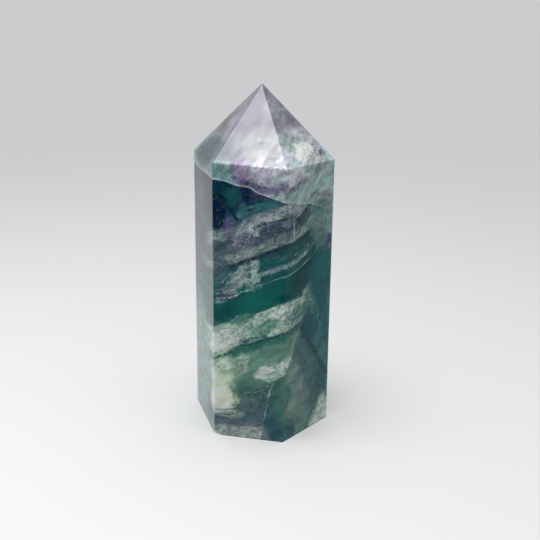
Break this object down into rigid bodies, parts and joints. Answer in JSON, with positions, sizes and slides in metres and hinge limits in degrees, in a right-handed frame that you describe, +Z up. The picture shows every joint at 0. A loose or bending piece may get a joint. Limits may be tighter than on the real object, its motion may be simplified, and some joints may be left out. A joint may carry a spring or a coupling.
{
  "type": "fluorite point",
  "caption": "Polished tower of banded green and purple fluorite, ground to a hexagonal prism with a faceted tip, standing on its flat foot.",
  "frame": {"origin": "middle of the flat foot, at the bottom centre of the bounding box", "axes": "+Z up through the stone to its tip, -Y out of the broad front face, +X to the right seen from the front"},
  "size_m": [0.0414, 0.0388, 0.1],
  "materials": {
    "banded_fluorite": "polished translucent stone, growth bands of teal, green, purple and cloudy white"
  },
  "bodies": {
    "root": {"fluorite_point": "banded_fluorite"}
  },
  "joints": []
}
